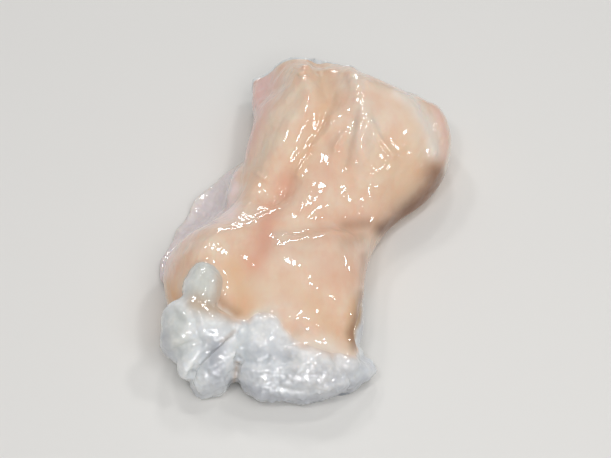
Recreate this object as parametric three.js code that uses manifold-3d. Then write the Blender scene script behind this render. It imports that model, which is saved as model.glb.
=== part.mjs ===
// Raw beef intestine: one cut length of large intestine, turned inside out round its own fat.
// The gut wall is a flattened sleeve, open at both cut ends, with a thin wavy flap of bare wall on
// its left side. The fat fills the sleeve and swells out of it in lobes at the front cut end and,
// less, at the rear one.
// Millimetres, +Z up. +Y runs from the front (fat) end to the rear end, and +X is to the right.
import * as THREE from "three";
import { mergeVertices } from "three/addons/utils/BufferGeometryUtils.js";
import Module from "manifold-3d";

const wasm = await Module();
wasm.setup();

// Driving dimensions
const WALL = 2.2; // thickness of the gut wall
const RIM_WALL = 0.55; // share of that thickness left at a cut rim
const GAP = 0.3; // clearance between the wall and the fat
const FRONT_RIM = -34; // where the wall ends over the front lobes
const REAR_RIM = 40; // where it ends at the rear
const FLATTENED = 0.35; // how much of the underside is pressed flat
const BELLY = 0.42; // height of the widest line of a section, as a share of its height
const FLAP_WALL = 1.5; // thickness of the flap where it leaves the wall
const FULLNESS = { upper: 0.86, under: 0.5 }; // exponents of a section's curve: 1 is an ellipse
const UNEVEN = 0.55; // height of the slow unevenness of the upper side
const AROUND = 48; // facets round the sleeve
const ALONG = 34; // facets along its outside
const ALONG_INSIDE = 14; // facets along its inside and along the fat core

// The lines of the sleeve: at each y, the middle and half width of the section, and its height.
const SECTIONS = [
  { y: -42, middle: -8.2, half: 18.4, height: 13.0 },
  { y: -34, middle: -7.8, half: 20.6, height: 17.0 },
  { y: -24, middle: -8.0, half: 21.2, height: 19.5 },
  { y: -13, middle: -7.8, half: 22.0, height: 18.8 },
  { y: -5, middle: -3.7, half: 20.0, height: 16.6 },
  { y: 3, middle: 2.5, half: 18.7, height: 16.2 },
  { y: 11, middle: 7.8, half: 21.9, height: 18.4 },
  { y: 21, middle: 10.6, half: 23.5, height: 20.6 },
  { y: 30, middle: 11.0, half: 22.5, height: 21.0 },
  { y: 36, middle: 9.2, half: 21.2, height: 19.8 },
  { y: 41, middle: 6.2, half: 18.8, height: 18.0 },
  { y: 46, middle: 2.0, half: 15.0, height: 15.6 },
  { y: 51, middle: 0.0, half: 12.0, height: 13.0 },
];

// Creases (depth over 0) and welts (depth under 0) of the upper side: each follows a few points.
const CREASES = [
  { along: [[3.5, 42], [6, 24.6], [3.5, 14.5], [-1.6, 7], [-5.5, 1.8]], depth: 1.7, width: 3.0 },
  { along: [[17.6, -3.5], [12, -5.6], [5.8, -6.8], [0.1, -10.2], [-5, -12]], depth: 1.9, width: 3.2 },
  { along: [[-6, 1], [-8.6, -7], [-10.2, -15]], depth: 0.8, width: 3.6 },
  { along: [[14, 31], [14.6, 23], [12.2, 14]], depth: -1.2, width: 2.8 },
  { along: [[25.2, 31], [27.6, 23], [28.8, 16], [29.3, 11]], depth: 1.2, width: 1.9 },
  { along: [[-5.8, 37.5], [-8.9, 23.4], [-12, 10]], depth: 0.9, width: 2.6 },
  { along: [[-22.5, -19], [-19.5, -12]], depth: -1.5, width: 6.0 },
  { along: [[2, -28], [5, -20], [4, -14]], depth: -0.8, width: 4.5 },
  { along: [[-13.6, -34.5], [-13.2, -27]], depth: 1.5, width: 2.6 },
  { along: [[4.6, -31.5], [8.5, -37]], depth: 0.8, width: 2.2 },
  { along: [[20, 42], [24, 37.5]], depth: 4.2, width: 5.5 },
  { along: [[-13, 46], [-9.5, 38]], depth: 3.7, width: 6.6 },
  { along: [[1.5, 48], [1.5, 40]], depth: -1.4, width: 4.0 },
];

// Waves of each cut rim round the sleeve: height, waves in a turn, and phase in degrees.
const FRONT_RIM_WAVES = [[-3.6, 1, 0], [-0.8, 3, -50], [-0.6, 5, -90]];
const REAR_RIM_WAVES = [[-4.4, 1, 0], [3.6, 1, -90]];
const REAR_TONGUE = { length: 2.6, angle: 100, sharpness: 6 }; // where the upper wall reaches furthest

// Waves of the slow unevenness: share, turn for each millimetre along X and Y, and phase in radians.
const UNEVEN_WAVES = [[0.5, 0.41, 0.19, 0.6], [0.35, -0.27, 0.33, 2.1], [0.25, 0.71, -0.38, 4.0]];

// Swellings of a lobe: share of its size, turns across it along X, Y and Z, and step between lobes.
const SWELLS = [[0.07, [3.1, 2.3, 0], 1], [0.06, [-2.9, 0, 4.3], 2], [0.04, [0, 6.1, 3.7], 3]];
const LOBE_DETAIL = { least: 2, finer_over: [5, 7] }; // half sizes past which a lobe gets more facets

// Lobes of fat: middle, half sizes, and how far each is turned about +Z.
const LOBES = {
  thumb: { at: [-20.8, -26.9, 16.4], size: [4.1, 5.6, 4.2], turn: 4 },
  left_shoulder: { at: [-21.8, -33.6, 10.0], size: [8.8, 7.0, 8.0], turn: 12 },
  left_outer: { at: [-22.2, -36.2, 5.4], size: [4.4, 4.8, 5.4], turn: 0 },
  left_drop: { at: [-19.4, -38.8, 5.8], size: [5.4, 6.2, 6.2], turn: 20 },
  left_tip: { at: [-20.5, -41.2, 3.6], size: [2.8, 3.6, 4.0], turn: 35 },
  cleft_bead: { at: [-14.0, -33.8, 12.0], size: [3.2, 3.0, 3.0], turn: 0 },
  crown: { at: [-7.2, -33.8, 9.3], size: [9.0, 7.2, 7.1], turn: -8 },
  front_left: { at: [-7.0, -39.8, 6.2], size: [7.9, 6.8, 7.2], turn: 4 },
  front_middle: { at: [1.0, -41.2, 5.8], size: [9.6, 6.2, 6.8], turn: 4 },
  front_right: { at: [7.2, -39.4, 5.0], size: [6.2, 4.9, 5.4], turn: 20 },
  right_tip: { at: [12.0, -38.8, 3.9], size: [3.6, 2.2, 2.4], turn: 18 },
  under_right: { at: [8.2, -31.6, 4.8], size: [4.3, 9.2, 4.7], turn: 1 },
  rear_left: { at: [-5.4, 41.6, 6.2], size: [6.2, 4.4, 5.6], turn: 0 },
  rear_middle: { at: [3.6, 42.0, 6.6], size: [7.2, 4.4, 6.0], turn: -12 },
  rear_right: { at: [14.6, 37.4, 5.8], size: [7.0, 4.4, 5.2], turn: -24 },
};

// The flap of bare wall: its root runs inside the wall, and its free edge lies out to the left.
const FLAP_ROOT = [[-25.4, -15], [-20, -6], [-12.6, 4], [-10.4, 15], [-9.6, 28]];
const FLAP_EDGE = [[-29, -14], [-32, -9], [-30.8, -2.5], [-26.8, 6], [-24.2, 13], [-19.2, 20.5], [-11.2, 27.6]];
const FLAP_ROOT_HEIGHT = 8.0;
const FLAP_EDGE_HEIGHT = 1.6;
const FLAP_THINNING = 0.45; // share of its thickness that it loses towards the free edge
const FLAP_FACETS = { out: 6, along: 22 };
const FLAP_FRILLS = [[0.63, 14, 0.5], [0.42, 31, 0]]; // of the free edge: depth, turn along it, phase
const FLAP_WAVE = { height: 0.6, along: 17, out: 2.5 };

const clamp01 = (v) => Math.min(1, Math.max(0, v));
const smooth = (v) => clamp01(v) ** 2 * (3 - 2 * clamp01(v));
const radians = THREE.MathUtils.degToRad;

// A value of SECTIONS at y, on a smooth cubic through the stations.
function station(key, y) {
  const last = SECTIONS.length - 1;
  const found = SECTIONS.findIndex((s) => s.y > y);
  const i = Math.min(last - 1, Math.max(0, (found < 0 ? last : found) - 1));
  const [a, b] = [SECTIONS[i], SECTIONS[i + 1]];
  const slope = (lo, hi) => (SECTIONS[hi][key] - SECTIONS[lo][key]) / (SECTIONS[hi].y - SECTIONS[lo].y);
  const span = b.y - a.y;
  const u = clamp01((y - a.y) / span);
  const startSlope = slope(Math.max(0, i - 1), i + 1) * span;
  const endSlope = slope(i, Math.min(last, i + 2)) * span;
  const [u2, u3] = [u * u, u * u * u];
  return a[key] * (2 * u3 - 3 * u2 + 1) + startSlope * (u3 - 2 * u2 + u)
    + b[key] * (3 * u2 - 2 * u3) + endSlope * (u3 - u2);
}

const CREASE_STEPS = 24;
const creaseLines = CREASES.map(({ along, depth, width }) => {
  const curve = new THREE.CatmullRomCurve3(along.map(([x, y]) => new THREE.Vector3(x, y, 0)));
  return { line: curve.getSpacedPoints(CREASE_STEPS), depth, width };
});

// How far the upper side is pressed down at (x, y). A crease is wider, and a welt lower, inside the
// wall, which so keeps its thickness.
function creaseDepth(x, y, inside) {
  let pressed = 0;
  for (const { line, depth, width } of creaseLines) {
    const away = Math.min(...line.map((p) => Math.hypot(p.x - x, p.y - y)));
    const kept = depth > 0 ? depth : depth * (1 - 0.5 * inside);
    pressed += kept * Math.exp(-((away / (width * (1 + 0.8 * inside))) ** 2));
  }
  return pressed;
}

// Slow unevenness of soft tissue, about one unit high.
function unevenness(x, y) {
  return UNEVEN_WAVES.reduce((sum, [share, alongX, alongY, phase]) =>
    sum + share * Math.sin(alongX * x + alongY * y + phase), 0);
}

// Where a cut rim lies at an angle round the sleeve.
const rimWaves = (waves, angle) => waves.reduce((sum, [height, turns, phase]) =>
  sum + height * Math.cos(turns * angle + radians(phase)), 0);
const frontRim = (angle) => FRONT_RIM + rimWaves(FRONT_RIM_WAVES, angle);
const rearRim = (angle) => REAR_RIM + rimWaves(REAR_RIM_WAVES, angle) + REAR_TONGUE.length
  * Math.max(0, Math.cos(angle - radians(REAR_TONGUE.angle))) ** REAR_TONGUE.sharpness;

// The point of the sleeve at an angle round it and a place along it, sunk below its outside.
function sleevePoint(angle, place, sunk) {
  const y = THREE.MathUtils.lerp(frontRim(angle), rearRim(angle), place);
  const [c, s] = [Math.cos(angle), Math.sin(angle)];
  const [half, height] = [station("half", y), station("height", y)];
  const belly = BELLY * height;
  const side = Math.sign(c) * Math.abs(c) ** FULLNESS.upper;
  const x = station("middle", y) + (half - sunk) * side;
  if (s < 0) return new THREE.Vector3(x, y, belly - (belly - sunk) * Math.abs(s) ** FULLNESS.under);
  const outer = station("middle", y) + half * side; // the relief is the same at all depths
  const pressedIn = creaseDepth(outer, y, clamp01(sunk / WALL));
  const relief = smooth(s / 0.75) * (pressedIn - UNEVEN * unevenness(outer, y)); // none at the sides
  return new THREE.Vector3(x, y, belly + (height - belly - sunk) * s ** FULLNESS.upper - relief);
}

// A three.js geometry as a solid, with its shared vertices merged.
function solid(geometry) {
  const bare = geometry.clone();
  for (const name of Object.keys(bare.attributes)) if (name !== "position") bare.deleteAttribute(name);
  const merged = mergeVertices(bare, 1e-4);
  const made = new wasm.Manifold(new wasm.Mesh({
    numProp: 3,
    vertProperties: merged.attributes.position.array,
    triVerts: new Uint32Array(merged.index.array),
  }));
  if (made.volume() < 0) throw new Error("a piece is inside out");
  return made;
}

// Moves every vertex of a geometry through a function of its place.
function pressed(geometry, move) {
  const place = geometry.attributes.position;
  for (let i = 0; i < place.count; i++) {
    const p = move(new THREE.Vector3().fromBufferAttribute(place, i));
    place.setXYZ(i, p.x, p.y, p.z);
  }
  return geometry;
}

// Places along the sleeve, the same for all depths, and past the rims by a share of its length.
function placesAlong(count, past) {
  const places = Array.from({ length: count + 1 }, (_, i) => i / count);
  return past > 0 ? [-past, ...places, 1 + past] : places;
}

// The sleeve between two depths, as a lathed ring of radius 1 (inside) to 2 (outside) and height
// 0 to 1 that is then pressed into its form.
function sleeve(outside, inside, past, tapered) {
  const rim = [1.5, past + 0.008];
  const profile = [
    [rim[0], -rim[1]],
    ...placesAlong(ALONG, past).map((h) => [2, h]),
    [rim[0], 1 + rim[1]],
    ...placesAlong(ALONG_INSIDE, past).reverse().map((h) => [1, h]),
    [rim[0], -rim[1]],
  ];
  const ring = new THREE.LatheGeometry(profile.map(([r, h]) => new THREE.Vector2(r, h)), AROUND);
  return solid(pressed(ring, ({ x, y, z }) => {
    const nearRim = smooth(Math.min(y, 1 - y) / 0.12);
    const kept = tapered ? THREE.MathUtils.lerp(RIM_WALL, 1, nearRim) : 1;
    const top = inside + (outside - inside) * kept;
    const sunk = THREE.MathUtils.lerp(inside, top, Math.hypot(x, z) - 1);
    return sleevePoint(Math.atan2(z, x), y, sunk);
  }));
}

// What lies inside the sleeve at a depth, closed at both ends.
function core(sunk, past) {
  const profile = [[0, -past], ...placesAlong(ALONG_INSIDE, past).map((h) => [1, h]), [0, 1 + past]];
  const bar = new THREE.LatheGeometry(profile.map(([r, h]) => new THREE.Vector2(r, h)), AROUND);
  return solid(pressed(bar, ({ x, y, z }) => {
    if (Math.hypot(x, z) > 0.5) return sleevePoint(Math.atan2(z, x), y, sunk);
    const at = THREE.MathUtils.lerp(FRONT_RIM, REAR_RIM, y);
    return new THREE.Vector3(station("middle", at), at, BELLY * station("height", at));
  }));
}

// One lobe of fat: a ball drawn out to its half sizes, with low swellings.
function lobe({ at, size, turn }, index) {
  const finer = LOBE_DETAIL.finer_over.filter((limit) => Math.max(...size) > limit).length;
  const ball = new THREE.IcosahedronGeometry(1, LOBE_DETAIL.least + finer);
  pressed(ball, (p) => {
    const swell = SWELLS.reduce((sum, [share, turns, step]) =>
      sum + share * Math.sin(p.dot(new THREE.Vector3(...turns)) + step * index), 1);
    return p.multiplyScalar(swell);
  });
  ball.scale(...size).rotateZ(radians(turn)).translate(...at);
  return solid(ball);
}

// The flap: a thin board whose length follows the wall, drooping from its root to its free edge.
function flap() {
  const line = (points) => new THREE.CatmullRomCurve3(points.map(([x, y]) => new THREE.Vector3(x, y, 0)));
  const [root, edge] = [line(FLAP_ROOT), line(FLAP_EDGE)];
  const board = new THREE.BoxGeometry(1, 1, 1, FLAP_FACETS.out, FLAP_FACETS.along, 1);
  return solid(pressed(board, ({ x, y, z }) => {
    const out = clamp01(x + 0.5); // 0 at the root, 1 at the free edge
    const along = clamp01(y + 0.5);
    const frill = FLAP_FRILLS.reduce((sum, [depth, turn, phase]) =>
      sum + depth * Math.sin(turn * along + phase), 0);
    const p = root.getPoint(along).lerp(edge.getPoint(along), out);
    const ends = smooth(Math.min(along, 1 - along) / 0.16); // the board is thinner at both ends
    const droop = THREE.MathUtils.lerp(FLAP_ROOT_HEIGHT, FLAP_EDGE_HEIGHT, smooth(out * 1.15));
    const wave = FLAP_WAVE.height * out * Math.sin(FLAP_WAVE.along * along + FLAP_WAVE.out * out);
    const thick = FLAP_WALL * (1 - FLAP_THINNING * out) * (0.5 + 0.5 * ends);
    return new THREE.Vector3(p.x - frill * out, p.y, Math.max(droop + wave, thick / 2) - z * thick);
  }));
}

// The largest body of a solid, without the scraps that cutting can leave.
function largest(made) {
  return made.decompose().sort((a, b) => b.volume() - a.volume())[0];
}

function meshOf(name, made, colour, roughness) {
  const { numProp, vertProperties, triVerts, numVert } = made.getMesh();
  const place = new Float32Array(numVert * 3);
  for (let i = 0; i < numVert; i++) place.set(vertProperties.subarray(i * numProp, i * numProp + 3), i * 3);
  const geometry = new THREE.BufferGeometry();
  geometry.setAttribute("position", new THREE.BufferAttribute(place, 3));
  geometry.setIndex(new THREE.BufferAttribute(new Uint32Array(triVerts), 1));
  const faceted = geometry.toNonIndexed();
  faceted.computeVertexNormals();
  const finish = new THREE.MeshStandardMaterial({ color: colour, roughness, metalness: 0 });
  const mesh = new THREE.Mesh(faceted, finish);
  mesh.name = name;
  return mesh;
}

// Gut wall: the sleeve and its flap, clear of the fat inside.
const inner = core(WALL, 0.03);
const floor = solid(new THREE.BoxGeometry(200, 200, 40).translate(0, 0, FLATTENED - 20));
const wall = largest(sleeve(0, WALL, 0, true).add(flap().subtract(inner)).subtract(floor));

// Fat: the core that runs through the sleeve and the lobes, clear of the wall and cut by the floor.
const clearance = sleeve(-GAP, WALL + GAP, 0.004, false);
const lobes = Object.values(LOBES).map(lobe).reduce((all, one) => all.add(one));
const flapClearance = flap().translate([0, 0, GAP]).add(flap());
const filling = core(WALL / 2, 0.02).add(lobes).subtract(clearance);
const fat = largest(filling.subtract(flapClearance).subtract(floor));

const piece = new THREE.Group();
piece.add(meshOf("gut_wall", wall, 0xe9c3a4, 0.3));
piece.add(meshOf("fat", fat, 0xe3e6e1, 0.4));

// The origin is under the middle of the piece.
const extent = new THREE.Box3().setFromObject(piece);
const middle = extent.getCenter(new THREE.Vector3());
piece.position.set(-middle.x, -middle.y, -extent.min.z);

export default piece;
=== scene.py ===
"""Looks of a raw beef intestine piece: a wet peach gut wall drawn round lobes of white fat.

Lengths are in millimetres in the row frame, and turned to metres where Blender needs them. The wall
and the fat are grown together in the real piece, so both are cut from one common form, and each
dips under the other where they meet.
"""

import logging
import math
import random
from abc import ABC, abstractmethod
from dataclasses import dataclass
from enum import Enum
from typing import Any, Optional, Sequence

import bpy
import numpy as np
from mathutils import Matrix, Vector, noise
from mathutils.bvhtree import BVHTree


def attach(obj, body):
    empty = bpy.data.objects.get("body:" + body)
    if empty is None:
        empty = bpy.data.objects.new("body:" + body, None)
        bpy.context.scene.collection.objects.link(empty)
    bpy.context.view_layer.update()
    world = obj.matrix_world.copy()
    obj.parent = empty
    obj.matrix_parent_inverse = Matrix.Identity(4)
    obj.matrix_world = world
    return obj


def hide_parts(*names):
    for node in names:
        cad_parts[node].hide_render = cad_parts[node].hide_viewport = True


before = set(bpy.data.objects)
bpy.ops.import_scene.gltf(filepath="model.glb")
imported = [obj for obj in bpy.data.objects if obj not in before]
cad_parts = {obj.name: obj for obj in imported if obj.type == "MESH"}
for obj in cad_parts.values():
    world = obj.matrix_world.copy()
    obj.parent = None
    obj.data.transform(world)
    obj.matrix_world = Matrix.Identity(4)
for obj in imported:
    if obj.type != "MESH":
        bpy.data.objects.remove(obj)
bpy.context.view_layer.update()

log = logging.getLogger("intestine")

MM = 0.001
# Corners of a copied solid are one where they are closer than this, in millimetres.
MERGE_DISTANCE = 0.001
# Vertex groups are written in so many steps of weight.
WEIGHT_STEPS = 50

Point = tuple[float, float, float]
Span = tuple[float, float]
Line = Sequence[tuple[float, float]]


def hex_colour(code: str) -> tuple[float, float, float, float]:
    """Turns an sRGB hex value into the linear colour that shaders take.

    Args:
        code: six hex digits after a #, such as "#E8C4A8".

    Returns:
        Red, green, blue and alpha, linear.
    """
    parts = [int(code[i:i + 2], 16) / 255 for i in (1, 3, 5)]
    linear = [p / 12.92 if p <= 0.04045 else ((p + 0.055) / 1.055) ** 2.4 for p in parts]
    return (*linear, 1.0)


def add_node(tree: bpy.types.NodeTree, kind: str, links: Optional[dict[Any, Any]] = None,
             **settings: str | bool) -> bpy.types.Node:
    """Adds a node, sets its properties, and fills its sockets.

    Args:
        tree: the node tree.
        kind: the node's type, such as "ShaderNodeTexNoise".
        links: by socket name or number, a socket to link from or a value to set.
        settings: properties of the node by name.

    Returns:
        The new node.
    """
    node = tree.nodes.new(kind)
    for name, value in settings.items():
        setattr(node, name, value)
    for name, value in (links or {}).items():
        if isinstance(value, bpy.types.NodeSocket):
            tree.links.new(value, node.inputs[name])
        else:
            node.inputs[name].default_value = value
    return node


def per_metre(millimetres: float) -> float:
    """Scale of a pattern on Object coordinates whose features are that many millimetres apart."""
    return 1 / (millimetres * MM)


def smooth_step(low: float, high: float, values: np.ndarray) -> np.ndarray:
    """Eases from 0 at low to 1 at high.

    Args:
        low: value at which the result is 0.
        high: value at which the result is 1; it may be below low.
        values: any array.

    Returns:
        An array of the same shape, from 0 to 1.
    """
    share = np.clip((values - low) / (high - low), 0, 1)
    return share * share * (3 - 2 * share)


def height_of(line: Line, at: np.ndarray) -> np.ndarray:
    """Height of a broken line at each value, level beyond its ends."""
    return np.interp(at, *np.array(line).T)


def distance_to_line(places: np.ndarray, line: Line) -> np.ndarray:
    """Distance of each place from a broken line, on one plane.

    Args:
        places: an array of points on the plane, in millimetres.
        line: two or more points along it, in millimetres.

    Returns:
        One distance for each place, in millimetres.
    """
    nearest = np.full(len(places), np.inf)
    for start, end in zip(line[:-1], line[1:]):
        a, b = np.array(start, float), np.array(end, float)
        span = b - a
        share = np.clip(((places - a) @ span) / (span @ span), 0, 1)
        away = np.linalg.norm(places - a - share[:, None] * span, axis=1)
        nearest = np.minimum(nearest, away)
    return nearest


def read_all(items: Any, name: str, width: int = 1, kind: type = np.float32) -> np.ndarray:
    """Reads one property of all vertices, edges or values of a mesh.

    Args:
        items: the mesh's collection of them.
        name: the property.
        width: how many numbers it has.
        kind: type of the numbers.

    Returns:
        An array with one row for each item.
    """
    found = np.empty(len(items) * width, kind)
    items.foreach_get(name, found)
    return found.reshape(-1, width)


def deselect_all() -> None:
    """Leaves nothing selected, in object mode."""
    if bpy.context.mode != "OBJECT":
        bpy.ops.object.mode_set(mode="OBJECT")
    bpy.ops.object.select_all(action="DESELECT")


def make_active(*pieces: bpy.types.Object) -> bpy.types.Object:
    """Selects only these objects and makes the first one active.

    Args:
        pieces: one or more objects.

    Returns:
        The first object.
    """
    deselect_all()
    for piece in pieces:
        piece.select_set(True)
    bpy.context.view_layer.objects.active = pieces[0]
    return pieces[0]


def copy_of(piece: bpy.types.Object, name: str) -> bpy.types.Object:
    """Makes a free copy of an object with a mesh of its own.

    Args:
        piece: the object to copy.
        name: the copy's name.

    Returns:
        The copy, which is shown, rides on nothing and has no material or vertex group.
    """
    mesh = piece.data.copy()
    mesh.materials.clear()
    copy = bpy.data.objects.new(name, mesh)
    copy.vertex_groups.clear()
    bpy.context.scene.collection.objects.link(copy)
    return copy


def joined(*pieces: bpy.types.Object) -> bpy.types.Object:
    """Joins objects into the first of them.

    Args:
        pieces: two or more objects.

    Returns:
        The first object, which now holds them all.
    """
    whole = make_active(*pieces)
    bpy.ops.object.join()
    return whole


def apply_modifier(piece: bpy.types.Object, kind: str, **settings: Any) -> None:
    """Adds a modifier with its settings and applies it at once.

    Args:
        piece: the object.
        kind: the modifier's type, such as "SMOOTH".
        settings: the modifier's properties by name.
    """
    make_active(piece)
    modifier = piece.modifiers.new(kind.lower(), kind)
    for name, value in settings.items():
        setattr(modifier, name, value)
    bpy.ops.object.modifier_apply(modifier=modifier.name)


def push_out(piece: bpy.types.Object, distance: float, group: str = "") -> None:
    """Moves a skin outwards, along its normals.

    Args:
        piece: the object.
        distance: how far, in millimetres; it goes inwards where this is under 0.
        group: the vertex group that says how much of the way each vertex goes.
    """
    apply_modifier(piece, "DISPLACE", direction="NORMAL", mid_level=0.0, vertex_group=group,
                   strength=distance * MM)


def merge_doubles(piece: bpy.types.Object) -> None:
    """Merges the loose triangles of a copied solid into one closed skin.

    Args:
        piece: the object.
    """
    make_active(piece)
    bpy.ops.object.mode_set(mode="EDIT")
    bpy.ops.mesh.select_all(action="SELECT")
    bpy.ops.mesh.remove_doubles(threshold=MERGE_DISTANCE * MM)
    bpy.ops.object.mode_set(mode="OBJECT")


def delete_where(piece: bpy.types.Object, chosen: np.ndarray) -> None:
    """Deletes the chosen vertices with the faces on them.

    Args:
        piece: the object.
        chosen: true for each vertex that goes.
    """
    make_active(piece)
    bpy.ops.object.mode_set(mode="EDIT")
    bpy.ops.mesh.select_all(action="DESELECT")
    bpy.ops.object.mode_set(mode="OBJECT")
    piece.data.vertices.foreach_set("select", chosen)
    bpy.ops.object.mode_set(mode="EDIT")
    bpy.ops.mesh.select_mode(type="VERT")
    bpy.ops.mesh.delete(type="VERT")
    bpy.ops.object.mode_set(mode="OBJECT")


def rest_on_floor(piece: bpy.types.Object) -> None:
    """Presses flat on the floor whatever lies below it.

    Args:
        piece: the object.
    """
    places = read_all(piece.data.vertices, "co", 3)
    places[:, 2] = np.maximum(places[:, 2], 0)
    piece.data.vertices.foreach_set("co", places.ravel())
    piece.data.update()


def largest_body(piece: bpy.types.Object) -> bpy.types.Object:
    """Parts a mesh into its loose bodies and keeps the one with most vertices.

    Args:
        piece: the object.

    Returns:
        The body that is kept.
    """
    make_active(piece)
    bpy.ops.object.mode_set(mode="EDIT")
    bpy.ops.mesh.select_all(action="SELECT")
    bpy.ops.mesh.separate(type="LOOSE")
    bpy.ops.object.mode_set(mode="OBJECT")
    *scraps, largest = sorted(bpy.context.selected_objects, key=lambda o: len(o.data.vertices))
    for scrap in scraps:
        bpy.data.objects.remove(scrap)
    return largest


@dataclass(frozen=True)
class Viewpoint:
    """Where the camera stands. Marks on the upper side are placed as seen from there.

    A mark's place is millimetres to the right of and above the target, on the plane through the
    target that faces the viewer.
    """

    target: Point = (-0.5, -3.5, 8.0)
    elevation: float = 47.3
    distance: float = 430.0
    # Marks fade out between these, where the skin turns away: 1 faces the viewer, 0 is side-on.
    turned_away: Span = (-0.45, 0.0)

    def toward(self) -> np.ndarray:
        """Direction from the target to the viewer."""
        tilt = math.radians(self.elevation)
        return np.array([0, -math.cos(tilt), math.sin(tilt)])

    def seen(self, places: np.ndarray) -> np.ndarray:
        """Where each place is seen.

        Args:
            places: an array of points, in millimetres.

        Returns:
            For each point, how far right of and above the target it is seen.
        """
        tilt = math.radians(self.elevation)
        upward = np.array([0, math.sin(tilt), math.cos(tilt)])
        away = places - np.array(self.target)
        nearer = self.distance / (self.distance - away @ self.toward())
        return np.stack([away[:, 0] * nearer, (away @ upward) * nearer], axis=1)


VIEWPOINT = Viewpoint()


class Skin:
    """Reads a mesh's vertices as arrays, and writes weights and attributes back onto them."""

    def __init__(self, piece: bpy.types.Object) -> None:
        """Keeps the object whose mesh is read and written."""
        self.piece = piece
        self.mesh = piece.data

    def places(self) -> np.ndarray:
        """Vertex places, in millimetres."""
        return read_all(self.mesh.vertices, "co", 3).astype(float) / MM

    def facing(self) -> np.ndarray:
        """How squarely each vertex faces the viewer, from 1 to -1 on the far side."""
        return read_all(self.mesh.vertex_normals, "vector", 3) @ VIEWPOINT.toward()

    def near(self, marks: Sequence["Mark"], anywhere: bool = False) -> np.ndarray:
        """How strongly the strongest of some marks shows at each vertex.

        Args:
            marks: the marks.
            anywhere: whether they also show where the skin is turned away from the viewer.

        Returns:
            One strength for each vertex.
        """
        seen = VIEWPOINT.seen(self.places())
        strongest = np.max([mark.spread(seen) for mark in marks], axis=0)
        if anywhere:
            return strongest
        return strongest * smooth_step(*VIEWPOINT.turned_away, self.facing())

    def blurred(self, values: np.ndarray, rounds: int) -> np.ndarray:
        """Spreads values over neighbouring vertices.

        Args:
            values: one value for each vertex.
            rounds: how many times each vertex takes half the mean of its neighbours.

        Returns:
            The spread values.
        """
        a, b = read_all(self.mesh.edges, "vertices", 2, np.int32).T
        count = len(values)
        shared = np.bincount(a, minlength=count) + np.bincount(b, minlength=count)
        spread = values.astype(float)
        for _ in range(rounds):
            total = np.bincount(a, spread[b], count) + np.bincount(b, spread[a], count)
            spread = 0.5 * spread + 0.5 * total / np.maximum(shared, 1)
        return spread

    def room_inside(self, clearance: float = 0.05, most: float = 100.0) -> np.ndarray:
        """How far below each vertex the far side of the skin is.

        Args:
            clearance: how far below the vertex the search starts, in millimetres.
            most: the distance given where the skin is open, in millimetres.

        Returns:
            One distance for each vertex, in millimetres.
        """
        tree = BVHTree.FromObject(self.piece, bpy.context.evaluated_depsgraph_get())
        room = np.full(len(self.mesh.vertices), most)
        for vertex in self.mesh.vertices:
            below = vertex.co - vertex.normal * clearance * MM
            distance = tree.ray_cast(below, -vertex.normal)[3]
            if distance is not None:
                room[vertex.index] = distance / MM
        return room

    def write_group(self, name: str, weights: np.ndarray) -> str:
        """Writes weights as a vertex group, in even steps.

        Args:
            name: the group's name; an older group of that name is replaced.
            weights: one weight for each vertex, from 0 to 1.

        Returns:
            The group's name.
        """
        old = self.piece.vertex_groups.get(name)
        if old:
            self.piece.vertex_groups.remove(old)
        group = self.piece.vertex_groups.new(name=name)
        steps = np.rint(np.clip(weights, 0, 1) * WEIGHT_STEPS).astype(int)
        for step in range(1, WEIGHT_STEPS + 1):
            chosen = np.nonzero(steps == step)[0]
            if len(chosen):
                group.add(chosen.tolist(), step / WEIGHT_STEPS, "REPLACE")
        return name

    def write_attribute(self, name: str, values: np.ndarray) -> None:
        """Writes values as a float attribute that materials can read.

        Args:
            name: the attribute's name.
            values: one value for each vertex, kept from 0 to 1.
        """
        attributes = self.mesh.attributes
        attribute = attributes.get(name) or attributes.new(name, "FLOAT", "POINT")
        attribute.data.foreach_set("value", np.clip(values, 0, 1).astype(np.float32))

    def read_attribute(self, name: str) -> np.ndarray:
        """The values of a float attribute, one for each vertex."""
        return read_all(self.mesh.attributes[name].data, "value")[:, 0].astype(float)


@dataclass(frozen=True)
class Mark:
    """A soft zone along a few points, as seen from the viewpoint."""

    along: Line
    width: float
    strength: float = 1.0

    def spread(self, seen: np.ndarray) -> np.ndarray:
        """How strongly the mark shows at each seen place, from 0 to its strength."""
        return self.strength * np.exp(-(distance_to_line(seen, self.along) / self.width) ** 2)


@dataclass(frozen=True)
class Relief:
    """A crease (height under 0) or a welt (height over 0) of the seen side along a few points."""

    along: Line
    height: float
    width: float

    def press(self, piece: bpy.types.Object) -> None:
        """Presses the crease or raises the welt on a piece.

        Args:
            piece: the object.
        """
        skin = Skin(piece)
        near = skin.near([Mark(self.along, self.width)])
        push_out(piece, self.height, skin.write_group("relief", near))


class Pattern(Enum):
    """Kinds of pattern that a skin can be moved by."""

    WAVES = "CLOUDS"
    COBBLES = "VORONOI"


class Where(Enum):
    """Parts of the form that ripples can move."""

    WALL = "the seen wall, least where it is calm"
    RUNGS = "the wall where its folds lie across it like rungs"
    FLAP = "the thin flap of bare wall"
    FAT = "all fat"
    FRONT = "fat, most of all on the lobes' fronts"


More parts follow.
